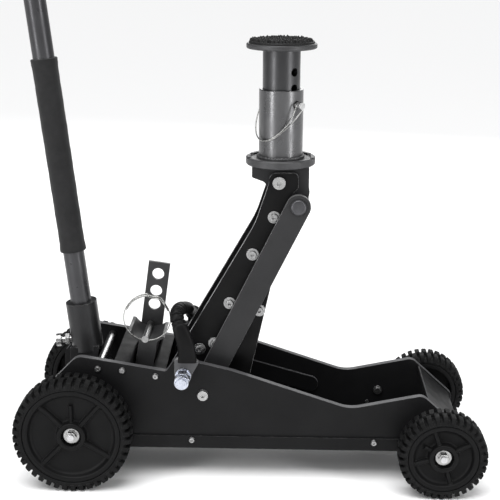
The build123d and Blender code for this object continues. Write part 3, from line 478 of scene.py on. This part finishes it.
def make_tyre(wheel, end, side, lugs):
    """A solid tyre: a rounded carcass with two staggered rows of lugs that wrap over the shoulders."""
    outer, width = wheel.tyre_r, wheel.width
    bm = bmesh.new()
    half = [(1.6, wheel.rim_r), (0.9, wheel.rim_r + 1.6), (1.3, outer - 9.5), (3.4, outer - 7.2),
            (8, outer - TREAD_DEPTH)]
    other_half = [(width - depth, radius) for depth, radius in reversed(half)]
    wheel.revolve(bm, rounded(half + other_half, 1.4, 3))
    block = [(1.8, outer - 11.5), (0.3, outer - 10.4), (0.25, outer - 5.2), (1.4, outer - 2.2),
             (4.6, outer - 0.5), (9, outer), (width / 2 - 1.8, outer), (width / 2 - 0.8, outer - 1.2),
             (width / 2 - 0.4, outer - TREAD_DEPTH - 0.8), (7, outer - TREAD_DEPTH - 1.5)]
    middle = Vector((width / 4 + 2, outer - 5))
    pitch = 360 / lugs
    for row in (0, 1):
        for lug in range(lugs):
            centre = -90 + (lug + 0.5 * row) * pitch
            rings = []
            for share, shrink in ((-0.31, 0.86), (-0.25, 1), (0.25, 1), (0.31, 0.86)):
                ring = []
                for corner in block:
                    depth, radius = middle + (Vector(corner) - middle) * shrink
                    ring.append(wheel.point(width - depth if row else depth, radius, centre + share * pitch))
                rings.append(ring)
            skin(bm, rings)
    piece_from(f"{wheel.name}_tread", bm, wheel.body, "tyre", [f"{end}_tyre_{side}"])


def make_rim(wheel, end, side, turn):
    """A moulded rim: rolled lip, dished web, raised hub with a recess for the nut, and its ribs."""
    rim_r, width = wheel.rim_r, wheel.width
    lip_r = rim_r - 9
    web, back = 13, 20
    profile = [
        (9.6, 9.1), (9.6, 14.6), (2.2, 15.2), (1.2, 16.6), (1.2, 20.6), (2.4, 22), (web - 1, 23.2), (web, 26),
        (web - 1.6, lip_r - 5), (web - 4, lip_r - 1.6), (3.4, lip_r + 0.6), (2.1, lip_r + 2.4),
        (2.1, rim_r - 1.4), (3.2, rim_r - 0.2), (width - 2.2, rim_r - 0.2),
        (width - 2.2, lip_r + 1), (back, lip_r), (back, 18),
        (width - 1.2, 17), (width - 1.2, 9.1),
    ]
    bm = bmesh.new()
    wheel.revolve(bm, rounded(profile, 1.3, 3), 128)

    def rib(angle, start, end_r, half_width, top):
        section = [(-half_width - 1.6, web + 2), (-half_width - 0.9, web - 1.2), (-half_width, top + 1.6),
                   (-half_width + 1.3, top), (half_width - 1.3, top), (half_width, top + 1.6),
                   (half_width + 0.9, web - 1.2), (half_width + 1.6, web + 2)]
        rings = []
        for station in range(9):
            share = station / 8
            radius = start + (end_r - start) * share
            sag = 1.2 * sin(pi * share)
            ring = []
            for across_rib, depth in section:
                reach = (radius ** 2 + across_rib ** 2) ** 0.5
                swing = angle + across_rib / radius * 180 / pi
                ring.append(wheel.point(depth + (sag if depth < web - 2 else 0), reach, swing))
            rings.append(ring)
        skin(bm, rings)

    for angle in RIB_ANGLES:
        rib(angle + turn, 21.4, lip_r + 0.8, 3.4, 5.2)
    rib(STUB_RIB_ANGLE + turn, 21.4, lip_r * 0.74, 2.8, 6.4)
    piece_from(f"{wheel.name}_rim_moulding", bm, wheel.body, "rim", [f"{end}_rim_{side}"], crease=50)


def make_wheels():
    for end, lugs, turn in (("rear", 42, 0), ("front", 34, 60)):
        for side in ("right", "left"):
            wheel = Wheel(end, side)
            make_tyre(wheel, end, side, lugs)
            make_rim(wheel, end, side, turn)


# ---- handle --------------------------------------------------------------------------------------
handle_foot = Vector(joints["handle_twist"]["pos_m"])
handle_axis = Vector(joints["handle_twist"]["axis"]).normalized()


def make_foam_sleeve():
    """Foam pushed over the tube, a little fatter at its trimmed ends and dented along its length."""
    start, end, bore, radius = 186, 486, 16.45, 19.4
    stations = 60
    outline = [(mm(start), mm(bore)), (mm(start) + mm(0.4), mm(radius + 0.2)),
               (mm(start + 1.6), mm(radius + 1))]
    for station in range(stations + 1):
        share = station / stations
        along = start + 4 + (end - start - 8) * share
        flare = 1.1 * (max(0, 1 - (along - start) / 13) ** 0.6 + max(0, 1 - (end - along) / 13) ** 0.6)
        dent = 0.14 * sin(share * 41) + 0.1 * sin(share * 97 + 1)
        outline.append((mm(along), mm(radius + flare + dent)))
    outline += [(mm(end - 1.6), mm(radius + 1)), (mm(end - 0.4), mm(radius + 0.2)), (mm(end), mm(bore))]
    bm = bmesh.new()
    turned(bm, outline, handle_foot, handle_axis, 72)
    piece = piece_from("foam_sleeve_soft", bm, "handle", "foam", ["foam_sleeve"])


def make_hand_grip():
    """The end grip, with rings moulded round it and a domed cap."""
    start, dome, radius, bore = 925, 1041, 19, 16.45
    outline = [(mm(start), mm(bore)), (mm(start), mm(radius - 0.8)), (mm(start + 1), mm(radius))]
    outline.append((mm(start + 6), mm(radius)))
    for ring in range(11):
        low = start + 9 + ring * 8.6
        outline += [(mm(low), mm(radius)), (mm(low + 1.2), mm(radius - 1.5)),
                    (mm(low + 3.2), mm(radius - 1.5)), (mm(low + 4.4), mm(radius))]
    outline.append((mm(dome - 10), mm(radius)))
    for step in range(13):
        angle = pi / 2 * step / 12
        outline.append((mm(dome) + mm(radius) * sin(angle), max(mm(0.02), mm(radius) * cos(angle))))
    outline += [(mm(dome - 9), mm(0.02)), (mm(dome - 9), mm(bore))]
    bm = bmesh.new()
    turned(bm, outline, handle_foot, handle_axis, 72)
    piece_from("hand_grip_ribbed", bm, "handle", "grip_rubber", ["hand_grip"], crease=30)


# ---- carry handle --------------------------------------------------------------------------------
GRIP_ROUTE = [(163, -86, 245), (156.5, -77, 262), (158, -62, 268), (163.4, -30, 261), (166, 10, 247),
              (164, 42, 234), (169, 75, 217)]
BOOT_FOOT = (172.7, 91.2, 195)


def make_carry_grip():
    """Moulded grip with finger ribs over its near shoulder, thinning towards the far boot."""
    line = through([at(*point) for point in GRIP_ROUTE], 30)

    plain_r, thinning = 10.2, 0.7
    ribs_from, ribs_share, rib_count, rib_height, rib_sunk = 0.04, 0.4, 6, 2.4, 1.6

    def girth(share):
        ribs = 0
        if ribs_from < share < ribs_from + ribs_share:
            wave = (share - ribs_from) / ribs_share * rib_count
            ribs = rib_height * (1 - (2 * (wave - floor(wave)) - 1) ** 6) - rib_sunk
        return mm(plain_r + ribs - thinning * share)

    bm = bmesh.new()
    swept(bm, line, girth, 28)
    piece_from("carry_grip_ribbed", bm, "frame", "grip_rubber", ["carry_grip"], crease=45)


def make_carry_boots():
    """Rubber boots that close over the lugs and stretch up to the ends of the grip."""
    for name, way, neck, lean in (("near", -1, Vector(GRIP_ROUTE[0]), Vector((-0.2, 0.7, 0.7))),
                                  ("far", 1, Vector(GRIP_ROUTE[-1]), Vector((0.1, -0.78, 0.62)))):
        foot = Vector((BOOT_FOOT[0], way * BOOT_FOOT[1], BOOT_FOOT[2]))
        mid = (foot + neck) / 2 + Vector((2.5, way * 2.5, 3))
        route = through([foot, foot + Vector((0, 0, 9)), mid, neck, neck + lean.normalized() * 5], 7)
        shares = [i / (len(route) - 1) for i in range(len(route))]
        rings = []
        for share, point in zip(shares, route):
            half_length = 13.8 + (12 - 13.8) * min(1, max(0, (share - 0.2) / 0.6)) ** 1.2
            half_depth = 6.8 + (12 - 6.8) * min(1, max(0, (share - 0.3) / 0.5))
            if share < 0.1:
                half_length += 0.5
            if share > 0.9:
                half_length -= 0.9
                half_depth -= 0.7
            up = Vector((0, 0, 1)).lerp(lean.normalized(), min(1, max(0, (share - 0.3) / 0.6))).normalized()
            ahead = (Vector((1, 0, 0)) - up * up.x).normalized()
            out = up.cross(ahead)
            power = 2 / (5 - 3 * share)
            ring = []
            for k in range(40):
                angle = 2 * pi * k / 40
                c, s = cos(angle), sin(angle)
                ring.append(at(*(point + ahead * half_length * abs(c) ** power * (1 if c > 0 else -1)
                                 + out * half_depth * abs(s) ** power * (1 if s > 0 else -1))))
            rings.append(ring)
        bm = bmesh.new()
        skin(bm, rings)
        replaced = ["carry_boots"] if name == "near" else []
        piece_from(f"carry_boot_{name}", bm, "frame", "grip_rubber", replaced, crease=55)


# ---- saddle --------------------------------------------------------------------------------------
def make_grip_pad():
    """Rubber pad crowded with small uneven teeth."""
    low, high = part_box("grip_pad")
    centre = Vector(((low.x + high.x) / 2, 0, low.z))
    radius = (high.x - low.x) / 2
    bm = bmesh.new()
    turned(bm, [(0, mm(0.02)), (0, radius), (mm(2), radius), (mm(3), radius - mm(1)), (mm(3), mm(0.02))],
           centre, Vector((0, 0, 1)), 96)
    dice = random.Random(7)
    pitch = mm(5.4)
    rows = int(radius / pitch) + 2
    for row in range(-rows, rows + 1):
        for column in range(-rows, rows + 1):
            x = (column + 0.5 * (row % 2)) * pitch + dice.uniform(-1, 1) * mm(0.5)
            y = row * pitch * 0.87 + dice.uniform(-1, 1) * mm(0.5)
            if (x * x + y * y) ** 0.5 > radius - mm(3):
                continue
            spin, tall = dice.uniform(0, pi / 2), mm(dice.uniform(3.0, 4.8))
            rings = []
            for height, size in ((mm(2.6), 2.7), (mm(3) + tall * 0.6, 1.9), (mm(3) + tall, 0.8)):
                corners = [spin + k * pi / 3 for k in range(6)]
                rings.append([centre + Vector((x + mm(size) * cos(corner), y + mm(size) * sin(corner),
                                               height)) for corner in corners])
            skin(bm, rings)
    piece_from("grip_pad_toothed", bm, "saddle", "grip_pad", ["grip_pad"])


def make_weld(name, height, radius, thick, body, beads):
    """A rippled weld bead round a tube's foot."""
    low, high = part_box("saddle_collar")
    centre = Vector(((low.x + high.x) / 2, 0, height))
    dice = random.Random(len(name))
    rings = []
    steps = beads * 6
    swell = [dice.uniform(0.85, 1.15) for _ in range(beads)]
    for step in range(steps):
        angle = 2 * pi * step / steps
        local = (step % 6) / 6
        size = thick * (0.78 + 0.3 * sin(pi * local)) * swell[step // 6]
        outward = Vector((cos(angle), sin(angle), 0))
        rings.append([centre + outward * (radius + size * 0.8 * cos(2 * pi * k / 12))
                      + Vector((0, 0, size * sin(2 * pi * k / 12))) for k in range(12)])
    bm = bmesh.new()
    skin(bm, rings, closed_along=True)
    piece_from(name, bm, body, "weld")


def make_keeper_ring():
    """Wire keeper of the lock pin: two legs from the head that meet and loop round the outer tube."""
    pin_low, pin_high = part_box("extension_pin")
    collar_low, collar_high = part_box("saddle_collar")
    centre = Vector(((collar_low.x + collar_high.x) / 2, 0, (pin_low.z + pin_high.z) / 2))
    azimuth, drop = radians(44), radians(55)
    along = Vector((sin(azimuth), -cos(azimuth), 0))
    beside = Vector((-cos(azimuth), -sin(azimuth), 0))
    down = beside * cos(drop) - Vector((0, 0, sin(drop)))
    square = along.cross(down)
    reach, depth, wire = 40.5, 65, 0.95

    def loop(start, end, spread, way):
        points = []
        for step in range(61):
            angle = radians(start + (end - start) * step / 60)
            apart = spread * max(0, 1 - step / 16) ** 1.4 + 1.1
            points.append(centre + along * mm(reach) * cos(angle) + down * mm(depth) * sin(angle)
                          + square * mm(apart) * way)
        return points

    bm = bmesh.new()
    swept(bm, loop(2, 178, 6.2, 1), mm(wire), 10)
    swept(bm, loop(2, 104, 6.2, -1), mm(wire), 10)
    piece_from("extension_pin_keeper", bm, "saddle", "keeper_wire", ["extension_pin_ring"])


# ---- stored pin's ring and the pump spring -------------------------------------------------------
def make_stored_ring():
    """The spare pin's spring ring, hanging in front of the post, with its doubled clip at the top."""
    low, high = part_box("stored_pin_ring")
    centre = (low + high) / 2
    radius = (high.z - low.z) / 2 - mm(0.6)

    def arc(start, end, size, shift):
        steps = 72
        turns = [radians(start + (end - start) * k / steps) for k in range(steps + 1)]
        return [centre + Vector((size * cos(turn), shift, size * sin(turn))) for turn in turns]

    bm = bmesh.new()
    swept(bm, arc(40, 395, radius, 0), mm(0.9), 10)
    clip = [(-32, 15), (-21, 29), (-3, 37.5), (9, 34), (22, 31), (33, 14)]
    for shift in (-1.4, 1.4):
        legs = through([centre + Vector((mm(x), mm(shift), mm(z + shift * 0.8))) for x, z in clip], 10)
        swept(bm, legs, mm(1.15), 10)
    piece_from("stored_pin_spring_ring", bm, "spare_pin", "keeper_wire", ["stored_pin_ring"])


def make_pump_spring():
    """Return spring with closed end coils."""
    low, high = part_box("pump_spring")
    centre = Vector(((low.x + high.x) / 2, 0, 0))
    wire = mm(1.2)
    radius = (high.x - low.x) / 2 - wire
    turns, steps = 8, 26
    foot, top = low.z + wire, high.z - wire
    rise = top - foot
    line = []
    for step in range(turns * steps + 1):
        turn = step / steps
        share = min(1, max(0, (turn - 0.8) / (turns - 1.6)))
        closed = wire * 2.05 * (min(turn, 0.8) / 0.8)
        closed_top = wire * 2.05 * (max(0, turn - turns + 0.8) / 0.8)
        height = foot + closed + (rise - 2 * wire * 2.05) * share + closed_top
        line.append(centre + Vector((radius * cos(2 * pi * turn), radius * sin(2 * pi * turn), height)))
    bm = bmesh.new()
    swept(bm, line, wire, 10)
    piece = piece_from("pump_return_spring", bm, "frame", "spring", ["pump_spring"])
    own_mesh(piece)


make_camera()
make_floor()
make_light()
finishes = make_materials()
finish_cad_nodes()
make_wheels()
make_foam_sleeve()
make_hand_grip()
make_carry_grip()
make_carry_boots()
make_grip_pad()
make_weld("tube_foot_weld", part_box("extension_outer_tube")[0].z, mm(34.4), mm(2.6), "saddle", 40)
make_keeper_ring()
make_stored_ring()
make_pump_spring()

bpy.context.scene.view_settings.view_transform = "Standard"
